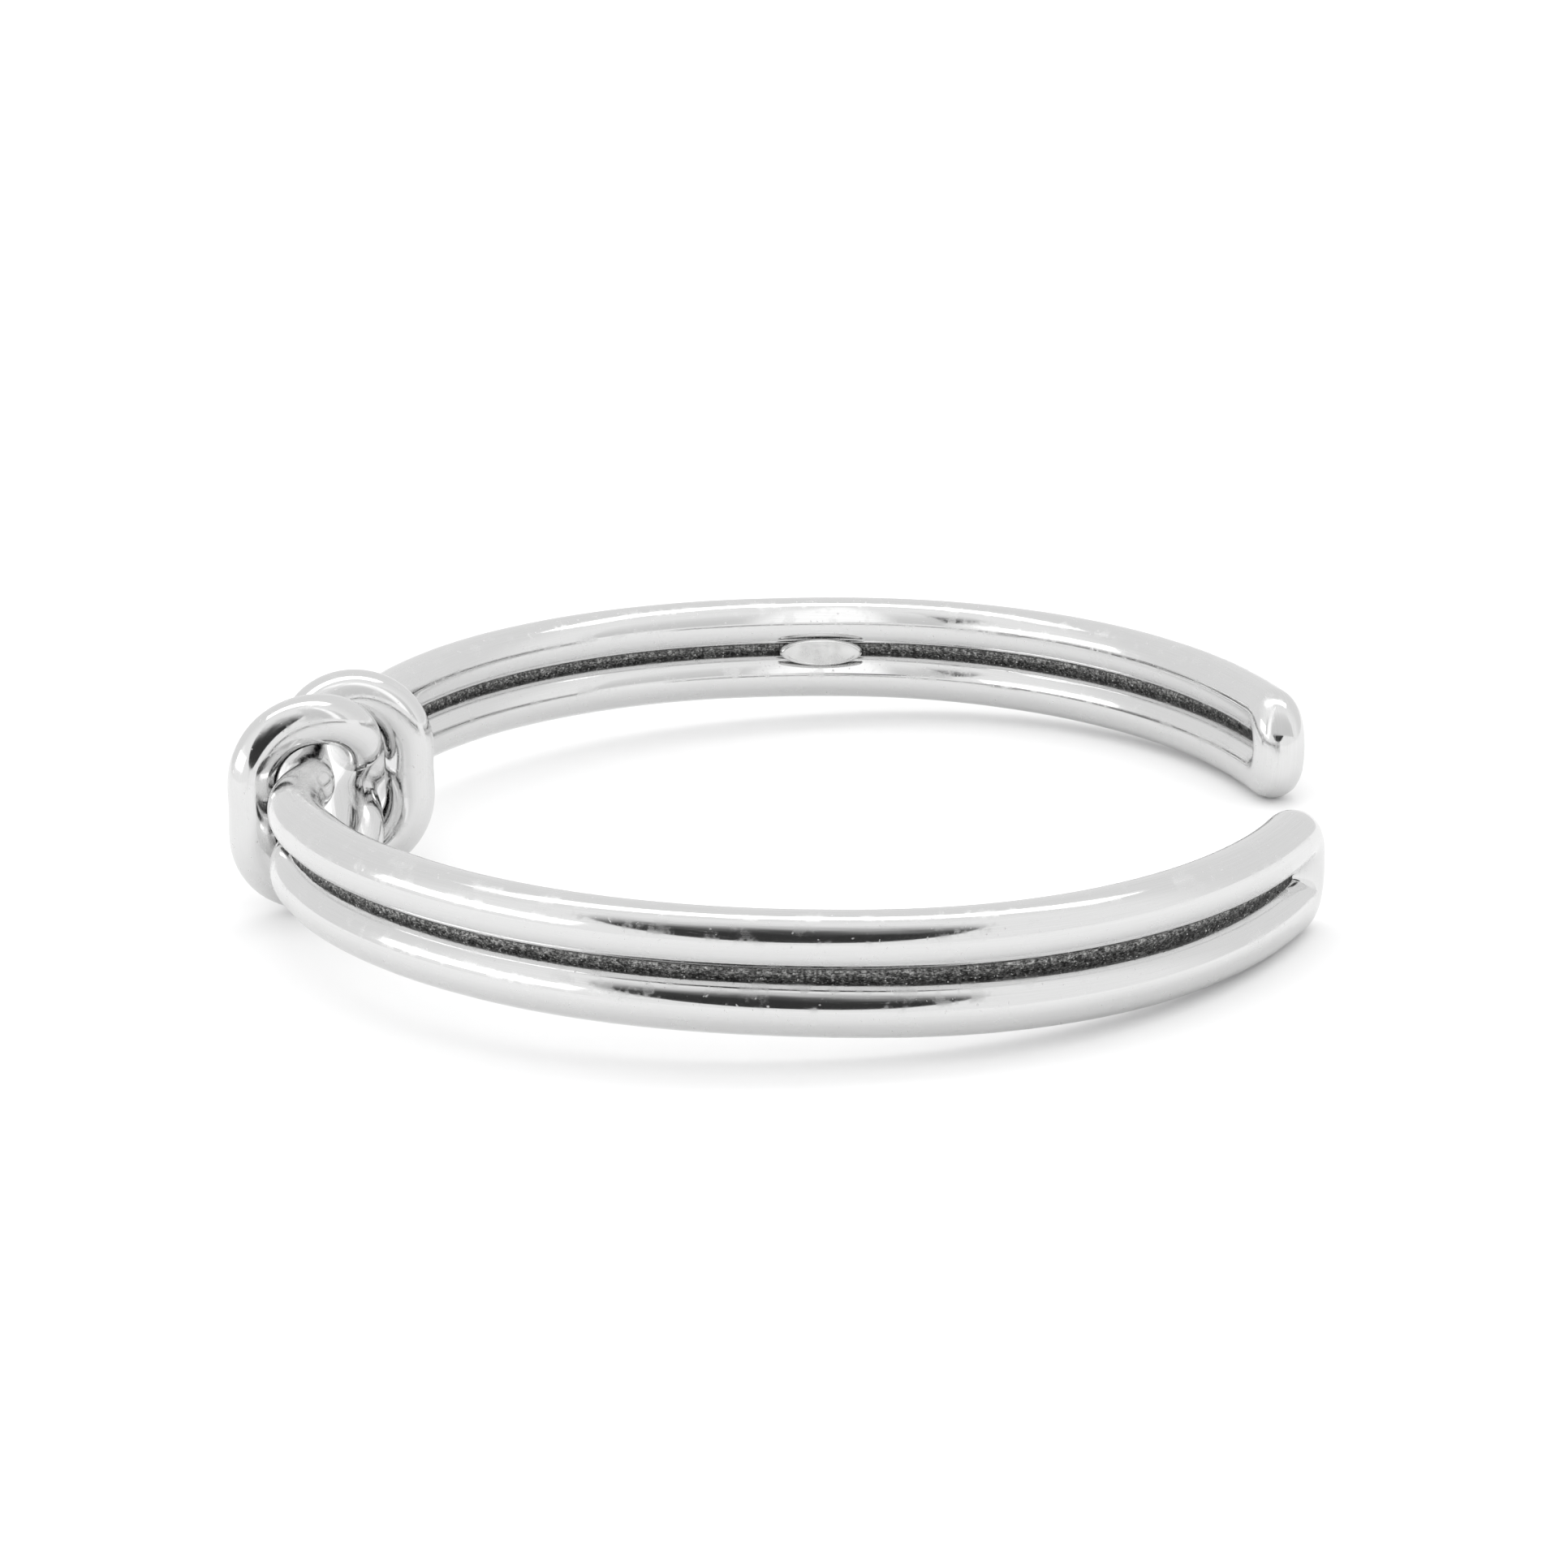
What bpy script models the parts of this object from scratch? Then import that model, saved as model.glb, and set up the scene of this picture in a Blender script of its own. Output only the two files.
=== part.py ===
"""Open cuff bracelet made of two long closed wire links that are interlocked in a reef knot.

Each link is one loop of round wire whose two runs lie one above the other, with a cast web in the
groove between them. The back link carries a small oval plate on its inner face. The cuff lies level:
+X points from the knot to the opening, +Y runs from the front link to the back link, and +Z is up.
The origin is under the middle of the object's box, at the height of the knot's lowest bend.
"""

import math

import bpy
import numpy as np

MM = 0.001

# Wire and links
WIRE_DIAMETER = 2.64 * MM
WIRE_RADIUS = WIRE_DIAMETER / 2
RUN_PITCH = 2.90 * MM
RUN_RISE = RUN_PITCH / 2

# Plan of the cuff, on the wires' centreline
HALF_WIDTH = 28.4 * MM
KNOT_REACH = 25.4 * MM
TIP_REACH = 22.9 * MM
KNOT_SIDE_POWER = 2.2
TIP_SIDE_POWER = 2.04
BACK_TIP_Y = 6.1 * MM
FRONT_TIP_Y = -11.2 * MM
# The front arm bulges outwards beside the knot: by how much, from where, how far to the widest
# place, and how narrowly.
FRONT_BULGE = 1.5 * MM
BULGE_START = 4.5 * MM
BULGE_LENGTH = 7.5 * MM
BULGE_NARROWNESS = 1.5
# Squareness of the turn at a link's tip, where 2 is a half circle.
BEND_POWER = 2.5

# One half of a link's bend through the knot, in wire diameters: distance along the cuff from the
# knot's centre, distance outwards, and height. It starts at the middle of the upright bend that
# crosses the other link and ends where the run joins its arm.
RUN_HEIGHT = RUN_RISE / WIRE_DIAMETER
KNOT_BEND = (
    (-1.40, 1.30, 0.00),
    (-1.37, 1.29, 0.70),
    (-1.21, 0.93, 1.32),
    (-0.86, 0.16, 1.56),
    (-0.47, -0.31, 1.36),
    (0.08, -0.50, 0.91),
    (0.76, -0.37, 0.59),
    (1.52, -0.28, RUN_HEIGHT),
    (2.31, -0.25, RUN_HEIGHT),
    (3.41, -0.13, RUN_HEIGHT),
    (4.92, 0.00, RUN_HEIGHT),
)
KNOT_WIRE_RADIUS = 1.25 * MM
TAPER_START = 1.5 * WIRE_DIAMETER
TAPER_END = 3.5 * WIRE_DIAMETER

# Web in the groove of each link
WEB_CLEARANCE = 0.08 * MM
WEB_HALF_DEPTH = 0.76 * MM
WEB_START = 1.9 * WIRE_DIAMETER
WEB_TIP_MARGIN = 0.15 * MM

# Oval plate on the back link
PLATE_LENGTH = 4.9 * MM
PLATE_HEIGHT = 1.5 * MM
PLATE_THICKNESS = 0.45 * MM
PLATE_FACE_DEPTH = 1.20 * MM
PLATE_FROM_APEX = -0.7 * MM

# Mesh resolution
WIRE_SIDES = 12
PLAN_SAMPLES = 4000
KNOT_STEPS_PER_SPAN = 4
BEND_STEPS = 8
# A path that rises less than this per unit of its length counts as level.
LEVEL_SLOPE = 0.3
ARM_STEP = 1.9 * MM
WEB_STEP = 2.2 * MM
WEB_PROFILE_STEPS = 4
PLATE_SIDES = 24

BACK = 1
FRONT = -1
SILVER = (0.80, 0.80, 0.79, 1.0)
DARK_SILVER = (0.13, 0.13, 0.125, 1.0)


def signed_power(value, power):
    return math.copysign(abs(value) ** power, value)


def plan_point(angle):
    """Point of the cuff's level centreline, with angle 0 at the opening and pi at the knot."""
    cosine, sine = math.cos(angle), math.sin(angle)
    reach, power = (TIP_REACH, TIP_SIDE_POWER) if cosine > 0 else (KNOT_REACH, KNOT_SIDE_POWER)
    return np.array((
        reach * signed_power(cosine, 2 / power),
        HALF_WIDTH * signed_power(sine, 2 / power),
    ))


class Arm:
    """The level centreline of one link, measured along its length from the knot's centre."""

    def __init__(self, side):
        self.side = side
        angles = np.linspace(math.pi, 0, PLAN_SAMPLES)
        self.points = np.array([plan_point(angle) for angle in angles]) * (1, side)
        steps = np.linalg.norm(np.diff(self.points, axis=0), axis=1)
        self.lengths = np.concatenate(([0.0], np.cumsum(steps)))
        tip_y = abs(BACK_TIP_Y if side == BACK else FRONT_TIP_Y)
        past_apex = np.arange(PLAN_SAMPLES) > np.argmax(abs(self.points[:, 1]))
        reached = past_apex & (abs(self.points[:, 1]) < tip_y)
        self.tip_length = self.lengths[np.argmax(reached)]
        self.bend_centre = self.tip_length - RUN_RISE - WIRE_RADIUS
        self.apex_length = self.lengths[np.argmax(abs(self.points[:, 1]))]
        along = np.gradient(self.points, axis=0)
        along /= np.linalg.norm(along, axis=1)[:, None]
        outwards = np.column_stack((-along[:, 1], along[:, 0])) * side
        share = np.maximum(self.lengths - BULGE_START, 0) / BULGE_LENGTH
        bulge = (FRONT_BULGE if side == FRONT else 0) * (share * np.exp(1 - share)) ** BULGE_NARROWNESS
        self.own_points = self.points + outwards * bulge[:, None]

    def at(self, length):
        """Point of the centreline; below zero it runs on into the other link's side."""
        points = self.own_points if length > 0 else self.points
        x = np.interp(abs(length), self.lengths, points[:, 0])
        y = np.interp(abs(length), self.lengths, points[:, 1])
        return np.array((x, math.copysign(1, length) * y))

    def tangent(self, length):
        reach = 0.3 * MM
        along = self.at(length + reach) - self.at(length - reach)
        return along / np.linalg.norm(along)

    def outward(self, length):
        along = self.tangent(length)
        return np.array((-along[1], along[0])) * self.side

    def place(self, length, out, height):
        """Point at a distance along the arm, a distance outwards from it and a height."""
        x, y = self.at(length) + out * self.outward(length)
        return np.array((x, y, height))


def natural_spline(points, steps):
    """Smooth curve through the points that is mirrored in height at its start and straight at its end."""
    points = np.array(points)
    mirrored = points[3:0:-1] * (1, 1, -1)
    knots = np.concatenate((mirrored, points))
    spans = np.linalg.norm(np.diff(knots, axis=0), axis=1)
    where = np.concatenate(([0.0], np.cumsum(spans)))
    count = len(knots)
    system = np.eye(count)
    target = np.zeros((count, 3))
    for i in range(1, count - 1):
        before, after = spans[i - 1], spans[i]
        system[i, i - 1:i + 2] = (after, 2 * (before + after), before)
        target[i] = 3 * (
            after * (knots[i] - knots[i - 1]) / before + before * (knots[i + 1] - knots[i]) / after
        )
    target[0] = (knots[1] - knots[0]) / spans[0]
    target[-1] = (knots[-1] - knots[-2]) / spans[-1]
    slopes = np.linalg.solve(system, target)
    curve = []
    for i in range(len(mirrored), count - 1):
        span = spans[i]
        for share in np.arange(steps) / steps:
            rest = 1 - share
            curve.append(
                knots[i] * rest * rest * (1 + 2 * share)
                + knots[i + 1] * share * share * (3 - 2 * share)
                + slopes[i] * span * share * rest * rest
                - slopes[i + 1] * span * share * share * rest
            )
    curve.append(knots[-1])
    return np.array(curve)


def knot_half(side):
    """Length, out and height along the upper half of the knot's bend, outwards being the cuff's outside."""
    bend = natural_spline(KNOT_BEND, KNOT_STEPS_PER_SPAN) * WIRE_DIAMETER
    bend[:, 1] *= side
    return bend


def wire_radius(length):
    """The wire is a little thinner through the knot than along the arm."""
    share = np.clip((length - TAPER_START) / (TAPER_END - TAPER_START), 0, 1)
    return KNOT_WIRE_RADIUS + (WIRE_RADIUS - KNOT_WIRE_RADIUS) * share * share * (3 - 2 * share)


def link_centreline(arm):
    """Closed centreline of one link from its upper run round, its radii, and where the knot starts."""
    half = knot_half(arm.side)
    first = half[-1, 0]
    count = round((arm.bend_centre - first) / ARM_STEP)
    straight = np.linspace(first, arm.bend_centre, count + 1)
    upper = [arm.place(length, 0, RUN_RISE) for length in straight]
    tip = []
    for i in range(1, BEND_STEPS):
        turn = math.pi * i / BEND_STEPS
        length = arm.bend_centre + RUN_RISE * signed_power(math.sin(turn), 2 / BEND_POWER)
        tip.append(arm.place(length, 0, RUN_RISE * signed_power(math.cos(turn), 2 / BEND_POWER)))
    lower = [arm.place(length, 0, -RUN_RISE) for length in straight[::-1]]
    inwards = [arm.place(length, out, -height) for length, out, height in half[-2:0:-1]]
    outwards = [arm.place(length, out, height) for length, out, height in half[:-1]]
    knot_start = len(upper) + len(tip) + len(lower) - 1
    path = np.array(upper + tip + lower + inwards + outwards)
    arm_radii = [WIRE_RADIUS] * (knot_start + 1)
    knot_radii = [wire_radius(length) for length in np.concatenate((half[-2:0:-1, 0], half[:-1, 0]))]
    return path, np.array(arm_radii + knot_radii), knot_start


def rotated(vector, axis, angle):
    cosine, sine = math.cos(angle), math.sin(angle)
    return vector * cosine + np.cross(axis, vector) * sine + axis * (axis @ vector) * (1 - cosine)


def ring_frames(path, knot_start):
    """Tangent and upward direction at each point of a closed path, with no twist outside the knot."""
    tangents = np.roll(path, -1, axis=0) - np.roll(path, 1, axis=0)
    tangents /= np.linalg.norm(tangents, axis=1)[:, None]
    vertical = np.array((0.0, 0.0, 1.0))
    up = vertical
    ups = []
    for i, tangent in enumerate(np.concatenate((tangents, tangents[:1]))):
        if i < knot_start and abs(tangent[2]) < LEVEL_SLOPE:
            up = math.copysign(1.0, up[2]) * vertical
        up = up - tangent * (up @ tangent)
        up /= np.linalg.norm(up)
        ups.append(up)
    start, end = ups[0], ups[-1]
    closing = math.atan2(np.cross(end, start) @ tangents[0], end @ start)
    count = len(path)
    for i in range(knot_start, count):
        share = (i - knot_start) / (count - knot_start)
        ups[i] = rotated(ups[i], tangents[i], closing * share)
    return tangents, ups[:-1]


def tube_mesh(name, path, radii, knot_start):
    """Closed round tube round a closed path, with a flat facet facing up and down on level stretches."""
    tangents, ups = ring_frames(path, knot_start)
    points, faces = [], []
    for centre, radius, tangent, up in zip(path, radii, tangents, ups):
        across = np.cross(up, tangent)
        for side in range(WIRE_SIDES):
            angle = 2 * math.pi * (side + 0.5) / WIRE_SIDES
            points.append(centre + radius * (up * math.cos(angle) + across * math.sin(angle)))
    count = len(path)
    for ring in range(count):
        following = (ring + 1) % count
        for side in range(WIRE_SIDES):
            beside = (side + 1) % WIRE_SIDES
            faces.append((
                ring * WIRE_SIDES + side,
                ring * WIRE_SIDES + beside,
                following * WIRE_SIDES + beside,
                following * WIRE_SIDES + side,
            ))
    return finished_mesh(name, points, faces)


def web_profile():
    """Hourglass section of the web as pairs of out and height, hollowed by the wires above and below."""
    outs = np.linspace(-WEB_HALF_DEPTH, WEB_HALF_DEPTH, 2 * WEB_PROFILE_STEPS + 1)
    hollow = WIRE_RADIUS + WEB_CLEARANCE
    heights = RUN_RISE - np.sqrt(hollow * hollow - outs * outs)
    top = list(zip(outs, heights))
    return top + [(out, -height) for out, height in reversed(top)]


def web_mesh(name, arm):
    """The web of one link: the hourglass section swept along the groove, closed at both ends."""
    half = knot_half(arm.side)
    lengths_of_half, outs_of_half = half[half[:, 0] > 0][:, 0], half[half[:, 0] > 0][:, 1]
    end = arm.bend_centre - WEB_TIP_MARGIN
    lengths = np.linspace(WEB_START, end, round((end - WEB_START) / WEB_STEP) + 1)
    profile = web_profile()
    points = []
    for length in lengths:
        shift = np.interp(length, lengths_of_half, outs_of_half)
        for out, height in profile:
            points.append(arm.place(length, shift + out, height))
    count = len(profile)
    faces = []
    for ring in range(len(lengths) - 1):
        for side in range(count):
            beside = (side + 1) % count
            faces.append((
                ring * count + side,
                ring * count + beside,
                (ring + 1) * count + beside,
                (ring + 1) * count + side,
            ))
    last = (len(lengths) - 1) * count
    for side in range(count // 2 - 1):
        low, high = side, side + 1
        far_low, far_high = count - 1 - side, count - 2 - side
        faces.append((low, far_low, far_high, high))
        faces.append((last + low, last + high, last + far_high, last + far_low))
    return finished_mesh(name, points, faces)


def plate_mesh(name, arm):
    """Flat oval plate that bridges the groove on the inner face of the arm."""
    middle = arm.apex_length + PLATE_FROM_APEX
    along = arm.tangent(middle)
    outward = arm.outward(middle)
    centre = arm.at(middle)
    points = []
    for depth in (PLATE_FACE_DEPTH, PLATE_FACE_DEPTH + PLATE_THICKNESS):
        for side in range(PLATE_SIDES):
            angle = 2 * math.pi * side / PLATE_SIDES
            x, y = centre - outward * depth + along * (PLATE_LENGTH / 2 * math.cos(angle))
            points.append((x, y, PLATE_HEIGHT / 2 * math.sin(angle)))
    near = list(range(PLATE_SIDES))
    far = [PLATE_SIDES + side for side in near]
    faces = [tuple(near), tuple(reversed(far))]
    for side in near:
        beside = (side + 1) % PLATE_SIDES
        faces.append((side, far[side], far[beside], beside))
    return finished_mesh(name, points, faces)


def finished_mesh(name, points, faces):
    """Mesh with outward faces and smooth shading that keeps its sharp edges."""
    mesh = bpy.data.meshes.new(name)
    mesh.from_pydata([tuple(point) for point in points], [], faces)
    corners = np.array([tuple(vertex.co) for vertex in mesh.vertices])
    mesh.calc_loop_triangles()
    volume = sum(
        np.linalg.det(corners[list(triangle.vertices)] / MM) for triangle in mesh.loop_triangles
    )
    if volume < 0:
        mesh.flip_normals()
    mesh.shade_smooth()
    mesh.set_sharp_from_angle(angle=math.radians(40))
    mesh.validate()
    return mesh


def metal(name, colour, roughness):
    material = bpy.data.materials.new(name)
    material.use_nodes = True
    shader = material.node_tree.nodes["Principled BSDF"]
    shader.inputs["Base Color"].default_value = colour
    shader.inputs["Metallic"].default_value = 1.0
    shader.inputs["Roughness"].default_value = roughness
    material.diffuse_color = colour
    return material


def add_piece(mesh, material, parent):
    piece = bpy.data.objects.new(mesh.name, mesh)
    piece.data.materials.append(material)
    piece.parent = parent
    bpy.context.scene.collection.objects.link(piece)
    return piece


def clear_scene():
    for item in list(bpy.data.objects):
        bpy.data.objects.remove(item, do_unlink=True)


def build_bracelet():
    """Builds every piece under one empty, which sets the origin and the height above the ground."""
    holder = bpy.data.objects.new("bracelet", None)
    bpy.context.scene.collection.objects.link(holder)
    corners = []
    for side, label in ((BACK, "back"), (FRONT, "front")):
        arm = Arm(side)
        link = tube_mesh(f"{label}_link", *link_centreline(arm))
        corners += [tuple(vertex.co) for vertex in link.vertices]
        add_piece(link, metal(f"{label}_link_silver", SILVER, 0.12), holder)
        web = web_mesh(f"{label}_web", arm)
        add_piece(web, metal(f"{label}_web_cast_silver", DARK_SILVER, 0.6), holder)
    plate = plate_mesh("oval_plate", Arm(BACK))
    add_piece(plate, metal("oval_plate_silver", SILVER, 0.2), holder)
    lowest, highest = np.min(corners, axis=0), np.max(corners, axis=0)
    middle = (lowest + highest) / 2
    holder.location = (-middle[0], -middle[1], -lowest[2])


clear_scene()
build_bracelet()
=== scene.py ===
import logging
import math
from dataclasses import dataclass, field
from enum import Enum
from typing import Any

import bmesh
import bpy
import numpy as np
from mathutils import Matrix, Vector


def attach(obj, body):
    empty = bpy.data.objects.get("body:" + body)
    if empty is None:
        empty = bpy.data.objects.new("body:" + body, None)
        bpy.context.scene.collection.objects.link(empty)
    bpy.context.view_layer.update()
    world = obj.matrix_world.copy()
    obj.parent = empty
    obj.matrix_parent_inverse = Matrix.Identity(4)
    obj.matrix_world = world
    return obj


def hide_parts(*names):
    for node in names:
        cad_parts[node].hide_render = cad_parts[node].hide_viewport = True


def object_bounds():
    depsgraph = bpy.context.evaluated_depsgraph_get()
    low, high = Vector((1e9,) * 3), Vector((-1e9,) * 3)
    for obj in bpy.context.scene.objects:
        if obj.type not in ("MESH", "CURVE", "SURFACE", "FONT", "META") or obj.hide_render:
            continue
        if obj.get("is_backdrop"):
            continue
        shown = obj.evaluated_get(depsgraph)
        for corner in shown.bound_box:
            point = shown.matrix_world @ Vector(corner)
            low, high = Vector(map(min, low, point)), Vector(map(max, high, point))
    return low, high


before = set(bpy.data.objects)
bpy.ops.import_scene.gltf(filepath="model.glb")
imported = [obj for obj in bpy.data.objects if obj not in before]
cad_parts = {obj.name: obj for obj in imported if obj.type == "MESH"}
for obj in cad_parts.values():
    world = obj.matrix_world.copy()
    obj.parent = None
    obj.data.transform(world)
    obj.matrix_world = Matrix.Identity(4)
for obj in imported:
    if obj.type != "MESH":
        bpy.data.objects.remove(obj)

LOG = logging.getLogger("cuff_bracelet")
MM = 0.001

LOOP_PLACE = "loop_place"
RING_PLACE = "ring_place"
WIRE_RADIUS = "wire_radius"
WIRE_PLACE = "wire_place"
WIRE_SIDE = "wire_side"
RELIEF = "relief"
GRAIN_RELIEF = 0.68


class Side(Enum):
    """Which arm of the cuff a link forms, as the sign of its Y."""

    BACK = 1
    FRONT = -1


# ---------------------------------------------------------------------------
# Small helpers for node trees and meshes
# ---------------------------------------------------------------------------


def add_node(
    tree: bpy.types.NodeTree, kind: str, inputs: dict[Any, Any] | None = None, **settings: Any
) -> Any:
    """Adds a node, sets its options and fills its inputs.

    Args:
        tree: The tree that takes the node.
        kind: The node's type name.
        inputs: Socket name or index, to a value or to the output socket that feeds it.
        **settings: Properties of the node, set before its inputs.

    Returns:
        The new node.
    """
    node = tree.nodes.new(kind)
    for name, value in settings.items():
        setattr(node, name, value)
    for name, value in (inputs or {}).items():
        if isinstance(value, bpy.types.NodeSocket):
            tree.links.new(value, node.inputs[name])
        else:
            node.inputs[name].default_value = value
    return node


def add_math(
    tree: bpy.types.NodeTree, operation: str, *values: Any, clamp: bool = False
) -> bpy.types.NodeSocket:
    """Adds a Math node.

    Args:
        tree: The tree that takes the node.
        operation: The Math node's operation.
        *values: Numbers or sockets for its inputs, in order.
        clamp: Whether the result is kept between 0 and 1.

    Returns:
        The node's output.
    """
    node = add_node(tree, "ShaderNodeMath", dict(enumerate(values)), operation=operation, use_clamp=clamp)
    return node.outputs[0]


def add_vector_math(tree: bpy.types.NodeTree, operation: str, *values: Any) -> bpy.types.NodeSocket:
    """Adds a Vector Math node with two vector inputs.

    Args:
        tree: The tree that takes the node.
        operation: The Vector Math node's operation.
        *values: Vectors or sockets for its inputs, in order.

    Returns:
        The node's vector output.
    """
    node = add_node(tree, "ShaderNodeVectorMath", dict(enumerate(values)), operation=operation)
    return node.outputs[0]


def add_ramp(
    tree: bpy.types.NodeTree, value: Any, low: Any, high: Any, start: float = 0.0, end: float = 1.0
) -> bpy.types.NodeSocket:
    """Adds a smooth Map Range node that keeps to its limits.

    Args:
        tree: The tree that takes the node.
        value: The socket to map.
        low: Input that gives start.
        high: Input that gives end.
        start: Output at and below low.
        end: Output at and above high.

    Returns:
        The mapped value.
    """
    inputs = {"Value": value, "From Min": low, "From Max": high, "To Min": start, "To Max": end}
    return add_node(tree, "ShaderNodeMapRange", inputs, interpolation_type="SMOOTHSTEP").outputs[0]


def add_noise(
    tree: bpy.types.NodeTree,
    place: Any,
    scale: Any,
    detail: float,
    roughness: float = 0.5,
    side: Any = None,
) -> bpy.types.NodeSocket:
    """Adds a Noise Texture, with a fourth coordinate where the surface closes on itself.

    Args:
        tree: The tree that takes the node.
        place: Vector socket that the noise reads.
        scale: Scale of the noise.
        detail: Number of finer layers.
        roughness: Strength of the finer layers.
        side: Socket for the fourth coordinate, if any.

    Returns:
        The noise's value.
    """
    inputs = {"Vector": place, "Scale": scale, "Detail": detail, "Roughness": roughness}
    if side is None:
        return add_node(tree, "ShaderNodeTexNoise", inputs).outputs[0]
    return add_node(tree, "ShaderNodeTexNoise", {**inputs, "W": side}, noise_dimensions="4D").outputs[0]


def new_group(
    kind: str, name: str, inputs: dict[str, tuple[str, Any]], outputs: dict[str, str]
) -> tuple[Any, Any, Any]:
    """Starts a node group with named inputs and outputs.

    Args:
        kind: "ShaderNodeTree" or "GeometryNodeTree".
        name: The group's name.
        inputs: Input name, to its socket type's last word and its default.
        outputs: Output name, to its socket type's last word.

    Returns:
        The tree, its input node and its output node.
    """
    tree = bpy.data.node_groups.new(name, kind)
    for label, (socket, default) in inputs.items():
        made = tree.interface.new_socket(label, in_out="INPUT", socket_type=f"NodeSocket{socket}")
        if default is not None:
            made.default_value = default
    for label, socket in outputs.items():
        tree.interface.new_socket(label, in_out="OUTPUT", socket_type=f"NodeSocket{socket}")
    return tree, tree.nodes.new("NodeGroupInput"), tree.nodes.new("NodeGroupOutput")


def place_group(tree: bpy.types.NodeTree, group: bpy.types.NodeTree, inputs: dict[str, Any]) -> Any:
    """Places a shader group in a material's tree.

    Args:
        tree: The material's tree.
        group: The group to place.
        inputs: Input name, to a value or a socket.

    Returns:
        The group's node.
    """
    return add_node(tree, "ShaderNodeGroup", inputs, node_tree=group)


def add_object(mesh: bpy.types.Mesh) -> bpy.types.Object:
    """Puts a mesh in the scene as an object of the same name, at the origin."""
    piece = bpy.data.objects.new(mesh.name, mesh)
    bpy.context.scene.collection.objects.link(piece)
    return piece


def grown(
    tree: bpy.types.NodeTree, source: bpy.types.Mesh, name: str, sizes: dict[str, Any]
) -> bpy.types.Object:
    """Runs a Geometry Nodes tree on a source mesh and keeps the result as a plain mesh.

    Args:
        tree: The Geometry Nodes tree.
        source: The mesh that the tree starts from.
        name: The finished piece's name.
        sizes: Input name, to its value.

    Returns:
        The finished piece, with outward faces.
    """
    carrier = add_object(source)
    modifier = carrier.modifiers.new(name, "NODES")
    modifier.node_group = tree
    for item in tree.interface.items_tree:
        if item.in_out == "INPUT" and item.name in sizes:
            modifier[item.identifier] = sizes[item.name]
    graph = bpy.context.evaluated_depsgraph_get()
    mesh = bpy.data.meshes.new_from_object(carrier.evaluated_get(graph), depsgraph=graph)
    bpy.data.objects.remove(carrier, do_unlink=True)
    mesh.name = name
    turn_outwards(mesh)
    return add_object(mesh)


def turn_outwards(mesh: bpy.types.Mesh) -> None:
    """Turns a closed mesh's faces outwards."""
    work = bmesh.new()
    work.from_mesh(mesh)
    bmesh.ops.recalc_face_normals(work, faces=work.faces)
    work.to_mesh(mesh)
    work.free()


def evened(points: np.ndarray, step: float, closed: bool) -> np.ndarray:
    """Spaces points evenly along the path that they follow.

    Args:
        points: Rows of coordinates, of which the first three are the place.
        step: Wanted spacing.
        closed: Whether the path ends where it starts.

    Returns:
        The spaced rows, without a repeat of the first one on a closed path.
    """
    rows = np.vstack((points, points[:1])) if closed else points
    spans = np.linalg.norm(np.diff(rows[:, :3], axis=0), axis=1)
    where = np.concatenate(([0.0], np.cumsum(spans)))
    count = round(where[-1] / step)
    wanted = np.linspace(0.0, where[-1], count + 1)[: count if closed else None]
    return np.column_stack([np.interp(wanted, where, column) for column in rows.T])


def softened(points: np.ndarray, reach: float, step: float, closed: bool) -> np.ndarray:
    """Smooths an evenly spaced path without drawing its bends in.

    Args:
        points: Evenly spaced rows of coordinates.
        reach: Distance over which the path is averaged.
        step: Spacing of the points.
        closed: Whether the path ends where it starts.

    Returns:
        The smoothed rows.
    """
    half = math.ceil(3 * reach / step)
    weights = np.exp(-0.5 * (np.arange(-half, half + 1) * step / reach) ** 2)
    weights /= weights.sum()

    def average(rows: np.ndarray) -> np.ndarray:
        """Weighted mean of each row's neighbours."""
        if closed:
            padded = np.vstack((rows[-half:], rows, rows[:half]))
        else:
            before = 2 * rows[0] - rows[half:0:-1]
            after = 2 * rows[-1] - rows[-2 : -half - 2 : -1]
            padded = np.vstack((before, rows, after))
        return np.column_stack([np.convolve(column, weights, "valid") for column in padded.T])

    return average(2 * points - average(points))


# ---------------------------------------------------------------------------
# Shader groups shared by the finishes
# ---------------------------------------------------------------------------


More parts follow.
